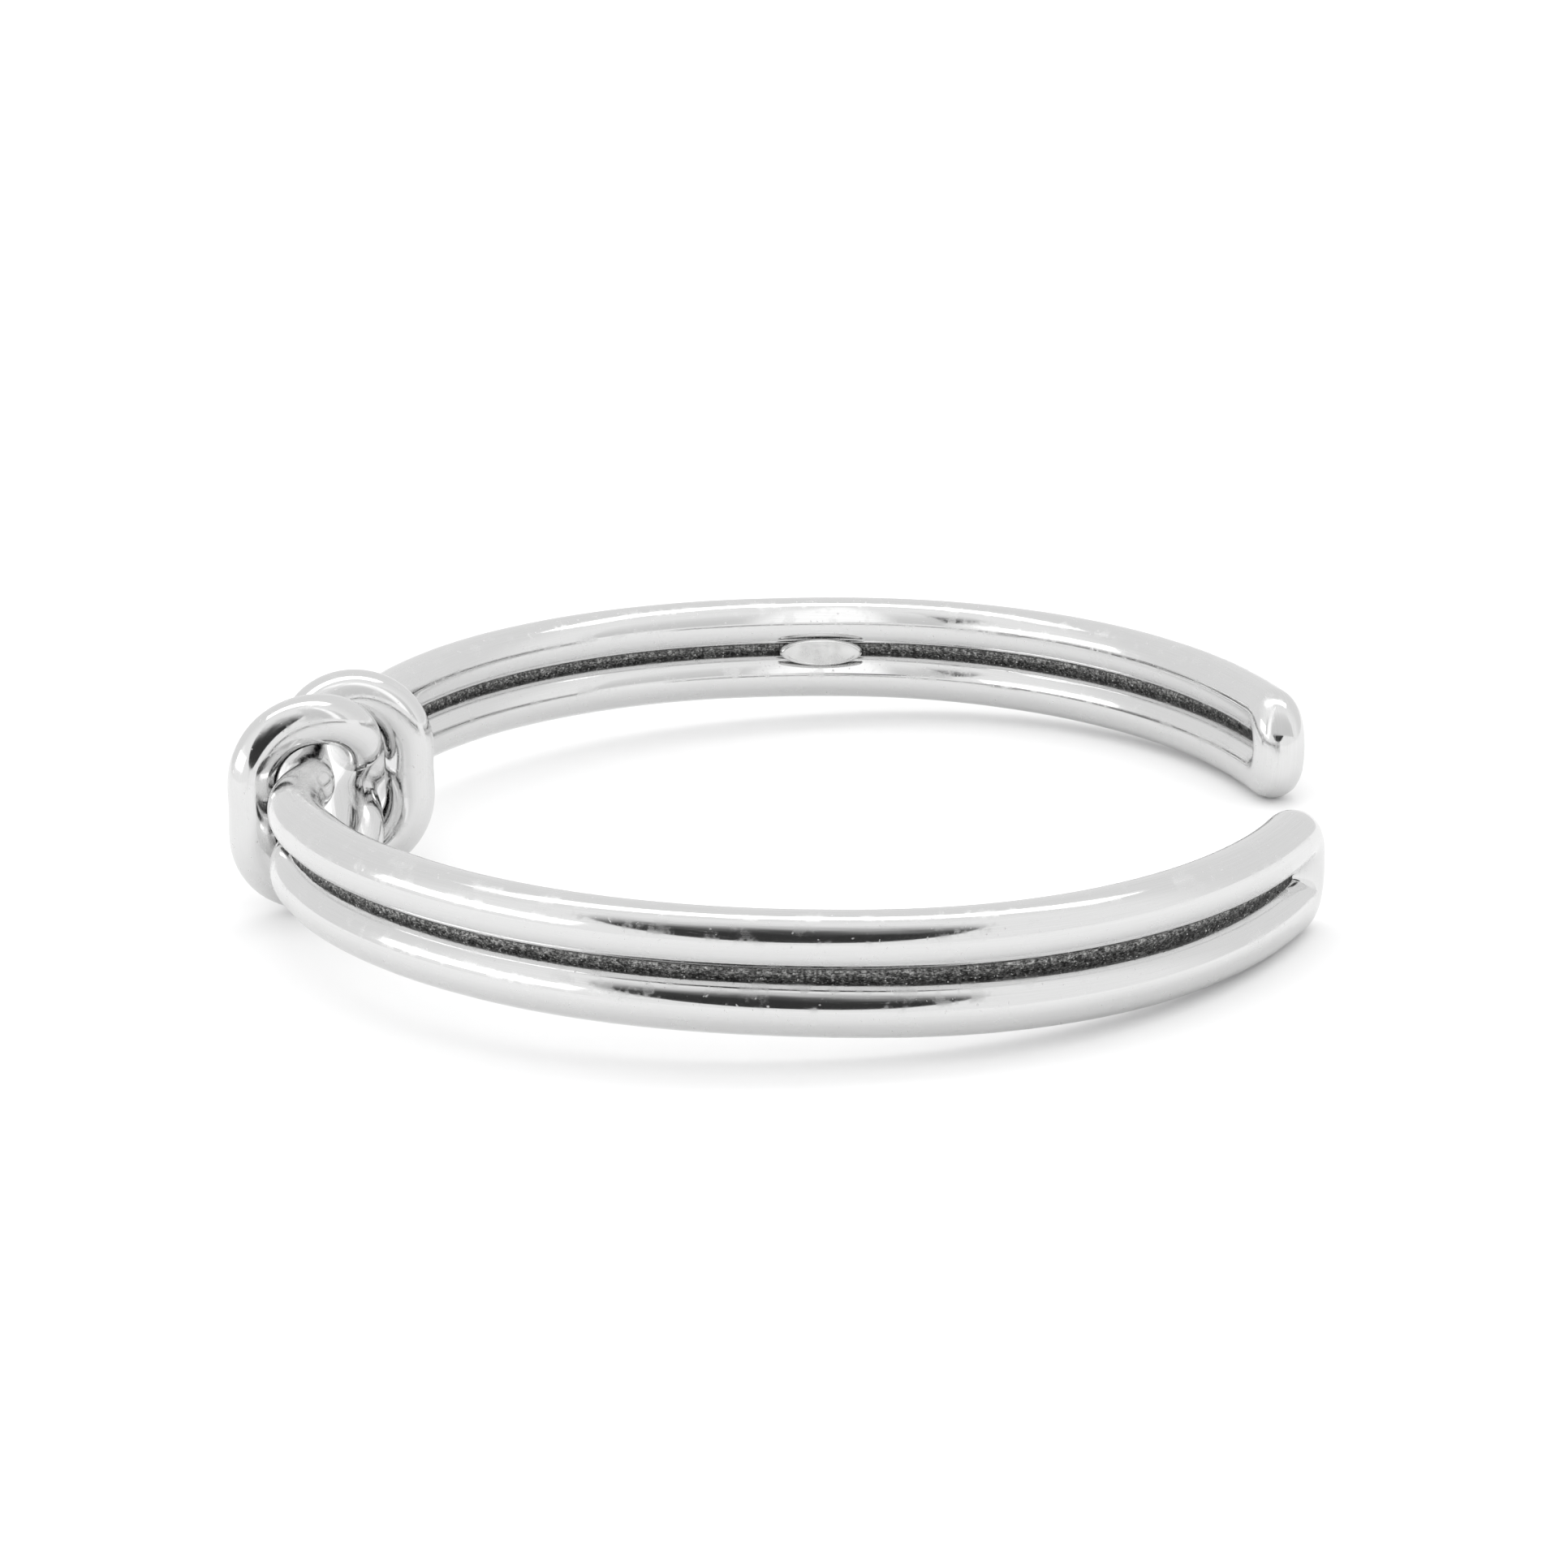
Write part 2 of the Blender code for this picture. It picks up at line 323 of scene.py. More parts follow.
def hairline_group() -> bpy.types.NodeTree:
    """Fine polishing lines that run along the surface, with sparse deeper scratches among them.

    Returns:
        A group from a place to the lines' Height and a Mask of the deeper ones.
    """
    inputs = {
        "Place": ("Vector", None),
        "Side": ("Float", 0.0),
        "Along": ("Float", 300.0),
        "Across": ("Float", 12000.0),
        "Scratch Share": ("Float", 0.2),
    }
    tree, start, end = new_group(
        "ShaderNodeTree", "hairlines", inputs, {"Height": "Float", "Mask": "Float"}
    )
    place, side, along, across, share = (start.outputs[name] for name in inputs)
    stretch = add_node(tree, "ShaderNodeCombineXYZ", {0: along, 1: along, 2: across}).outputs[0]
    fine = add_vector_math(tree, "MULTIPLY", place, stretch)
    fine_side = add_math(tree, "MULTIPLY", side, across)
    lines = add_noise(tree, fine, 1.0, 3.0, 0.65, side=fine_side)
    coarse = add_vector_math(tree, "MULTIPLY", fine, (0.45, 0.45, 0.33))
    coarse_side = add_math(tree, "MULTIPLY", fine_side, 0.33)
    deep = add_noise(tree, coarse, 1.0, 1.0, 0.5, side=coarse_side)
    depth = add_math(tree, "ABSOLUTE", add_math(tree, "SUBTRACT", deep, 0.5))
    limit = add_math(tree, "MULTIPLY", share, 0.06)
    scratch = add_math(tree, "SUBTRACT", 1.0, add_math(tree, "DIVIDE", depth, limit), clamp=True)
    patch = add_noise(tree, place, 260.0, 2.0, 0.5, side=add_math(tree, "MULTIPLY", side, 260.0))
    mask = add_math(tree, "MULTIPLY", scratch, add_ramp(tree, patch, 0.46, 0.62))
    height = add_math(tree, "SUBTRACT", lines, add_math(tree, "MULTIPLY", mask, 0.6))
    tree.links.new(height, end.inputs["Height"])
    tree.links.new(mask, end.inputs["Mask"])
    return tree


def patina_group() -> bpy.types.NodeTree:
    """Soft cloudy patches of handled metal, as a value from 0 to 1.

    Returns:
        A group from a place to the patches' Tone and a finer Bloom within them.
    """
    inputs = {
        "Place": ("Vector", None),
        "Side": ("Float", 0.0),
        "Scale": ("Float", 180.0),
        "Contrast": ("Float", 0.2),
    }
    tree, start, end = new_group("ShaderNodeTree", "patina", inputs, {"Tone": "Float", "Bloom": "Float"})
    place, side, scale, contrast = (start.outputs[name] for name in inputs)
    cloud = add_noise(tree, place, scale, 3.0, 0.55, side=add_math(tree, "MULTIPLY", side, scale))
    low = add_math(tree, "SUBTRACT", 0.5, contrast)
    high = add_math(tree, "ADD", 0.5, contrast)
    tone = add_ramp(tree, cloud, low, high)
    finer = add_math(tree, "MULTIPLY", scale, 9.0)
    specks = add_noise(tree, place, finer, 2.0, 0.6, side=add_math(tree, "MULTIPLY", side, finer))
    tree.links.new(tone, end.inputs["Tone"])
    tree.links.new(add_math(tree, "MULTIPLY", tone, specks), end.inputs["Bloom"])
    return tree


@dataclass(frozen=True)
class SharedEffects:
    """The shader groups that more than one finish uses."""

    hairlines: bpy.types.NodeTree
    patina: bpy.types.NodeTree

    @classmethod
    def built(cls) -> "SharedEffects":
        """Builds each group once."""
        return cls(hairline_group(), patina_group())


def new_material(name: str) -> tuple[bpy.types.Material, bpy.types.NodeTree, Any]:
    """Starts a material.

    Args:
        name: The material's name.

    Returns:
        The material, its tree and its shader.
    """
    material = bpy.data.materials.new(name)
    material.use_nodes = True
    return material, material.node_tree, material.node_tree.nodes["Principled BSDF"]


def tint(
    tree: bpy.types.NodeTree, amount: Any, dark: Any, light: tuple[float, ...]
) -> bpy.types.NodeSocket:
    """Blends two colours.

    Args:
        tree: The tree that takes the node.
        amount: Socket that gives light at 1.
        dark: Colour or socket at 0.
        light: Colour at 1.

    Returns:
        The blended colour.
    """
    below = dark if isinstance(dark, bpy.types.NodeSocket) else (*dark, 1.0)
    return add_node(
        tree, "ShaderNodeMix", {0: amount, 6: below, 7: (*light, 1.0)}, data_type="RGBA"
    ).outputs[2]


def add_bump(
    tree: bpy.types.NodeTree, shader: Any, height: Any, distance: float, strength: float = 1.0
) -> None:
    """Raises the shader's surface by a height.

    Args:
        tree: The tree that takes the node.
        shader: The shader whose Normal is fed.
        height: Socket that gives the height.
        distance: Depth of a height of 1.
        strength: Share of the effect.
    """
    inputs = {"Strength": strength, "Distance": distance, "Height": height}
    tree.links.new(add_node(tree, "ShaderNodeBump", inputs).outputs[0], shader.inputs["Normal"])


@dataclass(frozen=True)
class PolishedSilver:
    """Hand-polished silver wire: bright, with fine lines along it, faint prints and specks of dust."""

    bright: tuple[float, float, float] = (0.785, 0.785, 0.785)
    handled: tuple[float, float, float] = (0.745, 0.745, 0.743)
    roughness: float = 0.08
    handled_roughness: float = 0.20
    patch_scale: float = 320.0
    patch_contrast: float = 0.16
    print_scale: float = 900.0
    print_roughness: float = 0.16
    dust_scale: float = 5200.0
    dust_roughness: float = 0.35
    scratch_share: float = 0.25
    scratch_roughness: float = 0.12
    line_depth: float = 0.0006 * MM
    along: float = 260.0
    across: float = 9000.0

    def material(self, name: str, effects: SharedEffects) -> bpy.types.Material:
        """Makes the material.

        Args:
            name: The material's name.
            effects: The shared shader groups.

        Returns:
            The material.
        """
        material, tree, shader = new_material(name)
        place = add_node(tree, "ShaderNodeAttribute", None, attribute_name=WIRE_PLACE).outputs["Vector"]
        side = add_node(tree, "ShaderNodeAttribute", None, attribute_name=WIRE_SIDE).outputs["Fac"]
        where = {"Place": place, "Side": side}
        polish = {"Along": self.along, "Across": self.across, "Scratch Share": self.scratch_share}
        lines = place_group(tree, effects.hairlines, {**where, **polish})
        patches = {"Scale": self.patch_scale, "Contrast": self.patch_contrast}
        clouds = place_group(tree, effects.patina, {**where, **patches})
        shader.inputs["Metallic"].default_value = 1.0
        colour = tint(tree, clouds.outputs["Tone"], self.bright, self.handled)
        tree.links.new(colour, shader.inputs["Base Color"])
        smudge = add_ramp(tree, clouds.outputs["Bloom"], 0.2, 0.75, self.roughness, self.handled_roughness)
        touched = add_noise(tree, place, self.print_scale, 3.0, 0.7, side)
        prints = add_ramp(tree, touched, 0.50, 0.62, 0.0, self.print_roughness)
        specks = add_noise(tree, place, self.dust_scale, 1.0, 0.5, side)
        dust = add_ramp(tree, specks, 0.70, 0.74, 0.0, self.dust_roughness)
        scratched = add_math(tree, "MULTIPLY", lines.outputs["Mask"], self.scratch_roughness)
        marks = add_math(tree, "ADD", add_math(tree, "ADD", prints, dust), scratched)
        tree.links.new(add_math(tree, "ADD", smudge, marks), shader.inputs["Roughness"])
        add_bump(tree, shader, lines.outputs["Height"], self.line_depth)
        return material


@dataclass(frozen=True)
class CastSilver:
    """Rough cast silver of the groove strip: near-black in its low spots, darker towards the bottom with
    painted shade, its raised grains wear-polished bright, and painted glints along some thin streaks.
    """

    hollow: tuple[float, float, float] = (0.03, 0.03, 0.03)
    grain: tuple[float, float, float] = (0.30, 0.30, 0.295)
    # Colour of the wear-polished raised crests and of the painted glints along thin streaks.
    rubbed_and_glint: tuple[float, float, float] = (0.78, 0.78, 0.77)
    roughness: float = 0.55
    rubbed_and_glint_roughness: float = 0.25
    # Painted shade: below these heights the strip's colour darkens, down to shaded_share of it.
    shaded_height: float = 5.15 * MM
    open_height: float = 5.55 * MM
    shaded_share: float = 0.30
    patch_scale: float = 5200.0
    patch_contrast: float = 0.14
    streak_scale: float = 6500.0
    stretch: tuple[float, float, float] = (1.0, 1.0, 2.4)
    along: float = 1500.0
    across: float = 9000.0
    scratch_share: float = 0.8
    grit_scale: float = 14000.0
    grit_depth: float = 0.02 * MM

    def material(self, name: str, effects: SharedEffects) -> bpy.types.Material:
        """Makes the material.

        Args:
            name: The material's name.
            effects: The shared shader groups.

        Returns:
            The material.
        """
        material, tree, shader = new_material(name)
        place = add_node(tree, "ShaderNodeTexCoord").outputs["Object"]
        relief = add_node(tree, "ShaderNodeAttribute", None, attribute_name=RELIEF).outputs["Fac"]
        patches = {"Place": place, "Scale": self.patch_scale, "Contrast": self.patch_contrast}
        cloud = place_group(tree, effects.patina, patches).outputs["Tone"]
        scored = {"Along": self.along, "Across": self.across, "Scratch Share": self.scratch_share}
        lines = place_group(tree, effects.hairlines, {"Place": place, **scored}).outputs["Height"]
        raised = add_ramp(tree, relief, 0.30, 0.62)
        tone = add_math(tree, "MULTIPLY", raised, add_math(tree, "ADD", 0.35, cloud), clamp=True)
        height = add_node(tree, "ShaderNodeSeparateXYZ", {0: place}).outputs[2]
        # Painted shade: the colour darkens towards the bottom of the strip, then random lengthwise streaks
        # vary it.
        shade = add_ramp(tree, height, self.shaded_height, self.open_height, self.shaded_share, 1.0)
        stretched = add_vector_math(tree, "MULTIPLY", place, self.stretch)
        streaks = add_noise(tree, stretched, self.streak_scale, 4.0, 0.75)
        shade = add_math(tree, "MULTIPLY", shade, add_ramp(tree, streaks, 0.38, 0.64, 0.30, 2.1))
        colour = add_vector_math(tree, "MULTIPLY", tint(tree, tone, self.hollow, self.grain), shade)
        # Bright patches: real wear on the raised crests, plus painted glints along some thin lengthwise
        # streaks.
        crests = add_math(
            tree, "MULTIPLY", add_ramp(tree, relief, 0.60, 0.72), add_ramp(tree, cloud, 0.45, 0.75)
        )
        rubbed_and_glint_mask = add_math(tree, "MAXIMUM", crests, add_ramp(tree, streaks, 0.62, 0.68))
        tree.links.new(tint(tree, rubbed_and_glint_mask, colour, self.rubbed_and_glint), shader.inputs["Base Color"])
        rubbed_and_glint = add_ramp(tree, rubbed_and_glint_mask, 0.0, 1.0, self.roughness, self.rubbed_and_glint_roughness)
        tree.links.new(rubbed_and_glint, shader.inputs["Roughness"])
        shader.inputs["Metallic"].default_value = 1.0
        grit = add_noise(tree, place, self.grit_scale, 3.0, 0.7)
        add_bump(
            tree,
            shader,
            add_math(tree, "ADD", grit, add_math(tree, "MULTIPLY", lines, 0.5)),
            self.grit_depth,
            0.8,
        )
        return material


@dataclass(frozen=True)
class SatinSilver:
    """Satin silver of the small plate, brushed along its length."""

    bright: tuple[float, float, float] = (0.78, 0.78, 0.775)
    handled: tuple[float, float, float] = (0.60, 0.60, 0.595)
    roughness: float = 0.20
    handled_roughness: float = 0.34
    patch_scale: float = 700.0
    patch_contrast: float = 0.2
    along: float = 500.0
    across: float = 14000.0
    scratch_share: float = 0.5
    line_depth: float = 0.001 * MM

    def material(self, name: str, effects: SharedEffects) -> bpy.types.Material:
        """Makes the material.

        Args:
            name: The material's name.
            effects: The shared shader groups.

        Returns:
            The material.
        """
        material, tree, shader = new_material(name)
        place = add_node(tree, "ShaderNodeTexCoord").outputs["Object"]
        brushed = {"Along": self.along, "Across": self.across, "Scratch Share": self.scratch_share}
        lines = place_group(tree, effects.hairlines, {"Place": place, **brushed})
        patches = {"Place": place, "Scale": self.patch_scale, "Contrast": self.patch_contrast}
        clouds = place_group(tree, effects.patina, patches)
        shader.inputs["Metallic"].default_value = 1.0
        colour = tint(tree, clouds.outputs["Tone"], self.bright, self.handled)
        tree.links.new(colour, shader.inputs["Base Color"])
        dulled = add_ramp(tree, clouds.outputs["Bloom"], 0.1, 0.7, self.roughness, self.handled_roughness)
        tree.links.new(dulled, shader.inputs["Roughness"])
        add_bump(tree, shader, lines.outputs["Height"], self.line_depth)
        return material


# ---------------------------------------------------------------------------
# Geometry Nodes trees
# ---------------------------------------------------------------------------


def read_attribute(tree: bpy.types.NodeTree, name: str, kind: str = "FLOAT") -> bpy.types.NodeSocket:
    """Reads a named attribute in a Geometry Nodes tree."""
    return add_node(tree, "GeometryNodeInputNamedAttribute", {"Name": name}, data_type=kind).outputs[0]


def store_attribute(
    tree: bpy.types.NodeTree, geometry: Any, name: str, value: Any, kind: str = "FLOAT"
) -> bpy.types.NodeSocket:
    """Stores a value on each point of a geometry.

    Args:
        tree: The Geometry Nodes tree.
        geometry: The geometry's socket.
        name: The attribute's name.
        value: A value or the socket that gives it.
        kind: The attribute's data type.

    Returns:
        The geometry that carries the attribute.
    """
    inputs = {"Geometry": geometry, "Name": name, "Value": value}
    return add_node(
        tree, "GeometryNodeStoreNamedAttribute", inputs, data_type=kind, domain="POINT"
    ).outputs[0]


def push_out(tree: bpy.types.NodeTree, geometry: Any, depth: Any) -> bpy.types.NodeSocket:
    """Moves a geometry's points along their normals.

    Args:
        tree: The Geometry Nodes tree.
        geometry: The geometry's socket.
        depth: Socket that gives the distance.

    Returns:
        The moved geometry, shaded smooth.
    """
    normal = add_node(tree, "GeometryNodeInputNormal").outputs[0]
    offset = add_node(
        tree, "ShaderNodeVectorMath", {0: normal, "Scale": depth}, operation="SCALE"
    ).outputs[0]
    moved = add_node(tree, "GeometryNodeSetPosition", {"Geometry": geometry, "Offset": offset}).outputs[0]
    return add_node(tree, "GeometryNodeSetShadeSmooth", {"Geometry": moved}).outputs[0]


def finish_tree(tree: bpy.types.NodeTree, geometry: Any, finish: Any, end: Any) -> None:
    """Ends a tree with real geometry that carries its finish.

    Args:
        tree: The Geometry Nodes tree.
        geometry: The geometry's socket.
        finish: The socket of the material.
        end: The tree's output node.
    """
    real = add_node(tree, "GeometryNodeRealizeInstances", {"Geometry": geometry}).outputs[0]
    dressed = add_node(tree, "GeometryNodeSetMaterial", {"Geometry": real, "Material": finish}).outputs[0]
    tree.links.new(dressed, end.inputs["Geometry"])


def wire_tree() -> bpy.types.NodeTree:
    """Round wire along a path, with the slight unevenness of hand work.

    Returns:
        The Geometry Nodes tree.
    """
    inputs = {
        "Geometry": ("Geometry", None),
        "Sides": ("Int", 48),
        "Unevenness": ("Float", 0.02 * MM),
        "Unevenness Scale": ("Float", 200.0),
        "Finish": ("Material", None),
    }
    tree, start, end = new_group("GeometryNodeTree", "round_wire", inputs, {"Geometry": "Geometry"})
    curve = add_node(tree, "GeometryNodeMeshToCurve", {0: start.outputs["Geometry"]}).outputs[0]
    sides = start.outputs["Sides"]
    circle = add_node(
        tree, "GeometryNodeCurvePrimitiveCircle", {"Resolution": sides, "Radius": 1.0}
    ).outputs[0]
    position = add_node(tree, "GeometryNodeInputPosition").outputs[0]
    profile = store_attribute(tree, circle, RING_PLACE, position, "FLOAT_VECTOR")
    radius = read_attribute(tree, WIRE_RADIUS)
    swept = {"Curve": curve, "Profile Curve": profile, "Scale": radius}
    tube = add_node(tree, "GeometryNodeCurveToMesh", swept).outputs[0]
    loop = read_attribute(tree, LOOP_PLACE, "FLOAT_VECTOR")
    ring = read_attribute(tree, RING_PLACE, "FLOAT_VECTOR")
    parts = add_node(tree, "ShaderNodeSeparateXYZ", {0: ring}).outputs
    lift = add_node(
        tree, "ShaderNodeCombineXYZ", {2: add_math(tree, "MULTIPLY", parts[0], radius)}
    ).outputs[0]
    placed = store_attribute(
        tree, tube, WIRE_PLACE, add_vector_math(tree, "ADD", loop, lift), "FLOAT_VECTOR"
    )
    sided = store_attribute(tree, placed, WIRE_SIDE, add_math(tree, "MULTIPLY", parts[1], radius))
    wander = add_noise(tree, position, start.outputs["Unevenness Scale"], 2.0, 0.4)
    depth = add_math(tree, "MULTIPLY", add_math(tree, "SUBTRACT", wander, 0.5), start.outputs["Unevenness"])
    finish_tree(tree, push_out(tree, sided, depth), start.outputs["Finish"], end)
    return tree


def cast_tree() -> bpy.types.NodeTree:
    """Rough cast skin on a strip of metal, with small round grains stuck to it.

    Returns:
        The Geometry Nodes tree.
    """
    inputs = {
        "Geometry": ("Geometry", None),
        "Roughness": ("Float", 0.12 * MM),
        "Grain Density": ("Float", 6.0e6),
        "Grain Radius": ("Float", 0.06 * MM),
        "Seed": ("Int", 7),
        "Finish": ("Material", None),
    }
    tree, start, end = new_group("GeometryNodeTree", "cast_skin", inputs, {"Geometry": "Geometry"})
    position = add_node(tree, "GeometryNodeInputPosition").outputs[0]
    flat = add_vector_math(tree, "MULTIPLY", position, (1.0, 1.0, 2.2))
    coarse = add_noise(tree, flat, 3600.0, 4.0, 0.68)
    lengthwise = add_vector_math(tree, "MULTIPLY", position, (0.4, 0.4, 3.0))
    ridges = add_noise(tree, lengthwise, 4200.0, 2.0, 0.5)
    mixed = add_math(
        tree, "ADD", add_math(tree, "MULTIPLY", coarse, 0.7), add_math(tree, "MULTIPLY", ridges, 0.3)
    )
    marked = store_attribute(tree, start.outputs["Geometry"], RELIEF, mixed)
    height = add_math(tree, "MULTIPLY", add_math(tree, "SUBTRACT", mixed, 0.5), start.outputs["Roughness"])
    skin = push_out(tree, marked, add_math(tree, "MULTIPLY", height, 2.0))
    density, seed = start.outputs["Grain Density"], start.outputs["Seed"]
    scattered = {"Mesh": skin, "Density": density, "Seed": seed}
    spread = add_node(tree, "GeometryNodeDistributePointsOnFaces", scattered).outputs
    ball = {"Radius": start.outputs["Grain Radius"], "Subdivisions": 1}
    grain = add_node(tree, "GeometryNodeMeshIcoSphere", ball).outputs[0]
    bright = store_attribute(tree, grain, RELIEF, GRAIN_RELIEF)
    smooth = add_node(tree, "GeometryNodeSetShadeSmooth", {"Geometry": bright}).outputs[0]
    size = add_node(
        tree, "FunctionNodeRandomValue", {2: 0.35, 3: 1.0, "Seed": seed}, data_type="FLOAT"
    ).outputs[1]
    stuck = {"Points": spread["Points"], "Instance": smooth, "Rotation": spread["Rotation"], "Scale": size}
    grains = add_node(tree, "GeometryNodeInstanceOnPoints", stuck).outputs[0]
    joined = add_node(tree, "GeometryNodeJoinGeometry")
    tree.links.new(grains, joined.inputs[0])
    tree.links.new(skin, joined.inputs[0])
    finish_tree(tree, joined.outputs[0], start.outputs["Finish"], end)
    return tree


# ---------------------------------------------------------------------------
# The cuff
# ---------------------------------------------------------------------------


@dataclass(frozen=True)
class CuffPlan:
    """Level plan of the cuff on the wires' centreline, and where it lies in the frame."""

    half_width: float = 28.4 * MM
    knot_reach: float = 25.4 * MM
    tip_reach: float = 22.9 * MM
    knot_side_power: float = 2.2
    tip_side_power: float = 2.04
    centre: tuple[float, float, float] = (3.235 * MM, 0.024 * MM, 5.347 * MM)
    step: float = 0.1 * MM
    softening: float = 2.0 * MM

    def points(self, side: Side) -> np.ndarray:
        """Plan of one arm, from the knot round to the middle of the opening.

        Args:
            side: The arm.

        Returns:
            Evenly spaced rows of x and y about the plan's centre.
        """
        angles = np.linspace(2 * math.pi, 0, 8000, endpoint=False)
        cosine, sine = np.cos(angles), np.sin(angles)
        reach = np.where(cosine > 0, self.tip_reach, self.knot_reach)
        power = 2 / np.where(cosine > 0, self.tip_side_power, self.knot_side_power)
        x = np.sign(cosine) * reach * np.abs(cosine) ** power
        y = np.sign(sine) * self.half_width * np.abs(sine) ** power
        ring = evened(np.column_stack((x, y, 0 * x)), self.step, closed=True)
        ring = softened(ring, self.softening, self.step, closed=True)
        ring = np.roll(ring, -int(np.argmin(ring[:, 0])), axis=0)
        half = ring[: len(ring) // 2 + 1, :2]
        return half * (1, -side.value if half[len(half) // 2, 1] < 0 else side.value)


@dataclass(frozen=True)
class Bulge:
    """Swelling of an arm's plan beside the knot."""

    depth: float = 0.0
    start: float = 4.5 * MM
    length: float = 7.5 * MM
    narrowness: float = 1.5

    def at(self, lengths: np.ndarray) -> np.ndarray:
        """Distance outwards at each length along the arm."""
        share = np.maximum(lengths - self.start, 0) / self.length
        return self.depth * (share * np.exp(1 - share)) ** self.narrowness


class Arm:
    """The level centreline of one link, measured along its length from the knot's centre."""

    def __init__(self, plan: CuffPlan, side: Side, tip_y: float, tip_margin: float, bulge: Bulge) -> None:
        """Measures the arm.

        Args:
            plan: The cuff's plan.
            side: Which arm it is.
            tip_y: Distance of the tip from the cuff's middle plane.
            tip_margin: Distance from the tip back to where its turn starts.
            bulge: How far the arm swells outwards beside the knot.
        """
        self.side = side
        self.plan = plan
        self.points = plan.points(side)
        steps = np.linalg.norm(np.diff(self.points, axis=0), axis=1)
        self.lengths = np.concatenate(([0.0], np.cumsum(steps)))
        apex = int(np.argmax(abs(self.points[:, 1])))
        reached = (np.arange(len(self.points)) > apex) & (abs(self.points[:, 1]) < tip_y)
        self.apex_length = self.lengths[apex]
        self.bend_centre = self.lengths[np.argmax(reached)] - tip_margin
        along = np.gradient(self.points, axis=0)
        along /= np.linalg.norm(along, axis=1)[:, None]
        outwards = np.column_stack((-along[:, 1], along[:, 0])) * side.value
        self.own_points = self.points + outwards * bulge.at(self.lengths)[:, None]

    def at(self, length: float) -> np.ndarray:
        """Level point at a length; below zero it runs on into the other arm."""
        points = self.own_points if length > 0 else self.points
        x = np.interp(abs(length), self.lengths, points[:, 0])
        y = np.interp(abs(length), self.lengths, points[:, 1])
        return np.array((x, math.copysign(1, length) * y))

    def tangent(self, length: float) -> np.ndarray:
        """Level direction towards the tip."""
        along = self.at(length + 0.3 * MM) - self.at(length - 0.3 * MM)
        return along / np.linalg.norm(along)

    def outward(self, length: float) -> np.ndarray:
        """Level direction out of the cuff."""
        along = self.tangent(length)
        return np.array((-along[1], along[0])) * self.side.value

    def place(self, length: float, out: float, height: float) -> np.ndarray:
        """Point in the frame.

        Args:
            length: Distance along the arm from the knot's centre.
            out: Distance outwards from the centreline.
            height: Height above the middle of the wires.

        Returns:
            The point.
        """
        x, y = self.at(length) + out * self.outward(length)
        return np.array((x, y, height)) + self.plan.centre


@dataclass(frozen=True)
class KnotBend:
    """One half of a link's bend through the reef knot, in wire diameters.

    Each row is a distance along the cuff from the knot's centre, a distance outwards and a height,
    from the middle of the upright bend to where the run joins its arm.
    """

    rows: tuple[tuple[float, float, float], ...] = (
        (-1.40, 1.30, 0.00),
        (-1.37, 1.29, 0.70),
        (-1.21, 0.93, 1.32),
        (-0.86, 0.16, 1.56),
        (-0.47, -0.31, 1.36),
        (0.08, -0.50, 0.91),
        (0.76, -0.37, 0.59),
        (1.52, -0.28, 0.5492),
        (2.31, -0.25, 0.5492),
        (3.41, -0.13, 0.5492),
        (4.92, 0.00, 0.5492),
    )
    steps_per_span: int = 16

    def curve(self, diameter: float, side: Side) -> np.ndarray:
        """Smooth curve through the rows, mirrored in height at its start and straight at its end.

        Args:
            diameter: The wire's diameter.
            side: The link's arm; the front link's bend is turned inside out.

        Returns:
            Rows of length, out and height.
        """
        points = np.array(self.rows)
        mirrored = points[3:0:-1] * (1, 1, -1)
        knots = np.concatenate((mirrored, points))
        spans = np.linalg.norm(np.diff(knots, axis=0), axis=1)
        count = len(knots)
        system = np.eye(count)
        target = np.zeros((count, 3))
        for i in range(1, count - 1):
            before, after = spans[i - 1], spans[i]
            system[i, i - 1 : i + 2] = (after, 2 * (before + after), before)
            target[i] = 3 * (
                after * (knots[i] - knots[i - 1]) / before + before * (knots[i + 1] - knots[i]) / after
            )
        target[0] = (knots[1] - knots[0]) / spans[0]
        target[-1] = (knots[-1] - knots[-2]) / spans[-1]
        slopes = np.linalg.solve(system, target)
        rows = []
        for i in range(len(mirrored), count - 1):
            for share in np.arange(self.steps_per_span) / self.steps_per_span:
                rest = 1 - share
                rows.append(
                    knots[i] * rest * rest * (1 + 2 * share)
                    + knots[i + 1] * share * share * (3 - 2 * share)
                    + slopes[i] * spans[i] * share * rest * rest
                    - slopes[i + 1] * spans[i] * share * share * rest
                )
        rows.append(knots[-1])
        return np.array(rows) * diameter * (1, side.value, 1)


